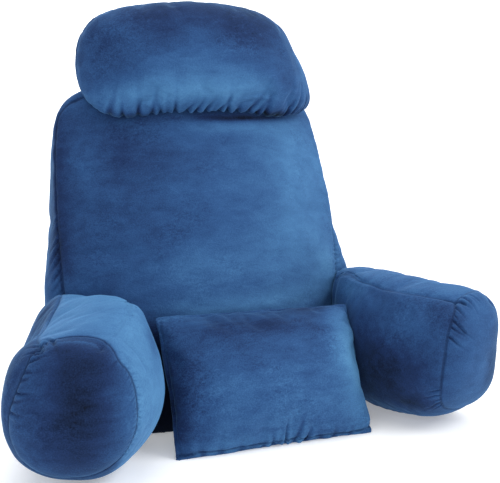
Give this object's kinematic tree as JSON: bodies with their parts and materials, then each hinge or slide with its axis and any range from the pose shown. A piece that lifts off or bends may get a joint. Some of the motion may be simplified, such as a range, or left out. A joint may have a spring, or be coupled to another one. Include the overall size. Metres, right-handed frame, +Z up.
{
  "type": "reading pillow",
  "caption": "Upright backrest cushion with padded bolster arms at its sides, a head pillow leaning on its top and a loose lumbar pillow between the arms, for sitting up to read.",
  "frame": {"origin": "on the surface it rests on, under the middle of the whole object's box", "axes": "+Z up, -Y towards the sitter's legs, +X to the right as seen from the front"},
  "size_m": [0.793, 0.5136, 0.674],
  "materials": {
    "velour": "blue short-pile velour, brushed, with lighter patches where the nap lies the other way"
  },
  "bodies": {
    "root": {"backrest": "velour", "arm_left": "velour", "arm_right": "velour", "head_pillow": "velour", "lumbar_pillow": "velour"}
  },
  "joints": []
}
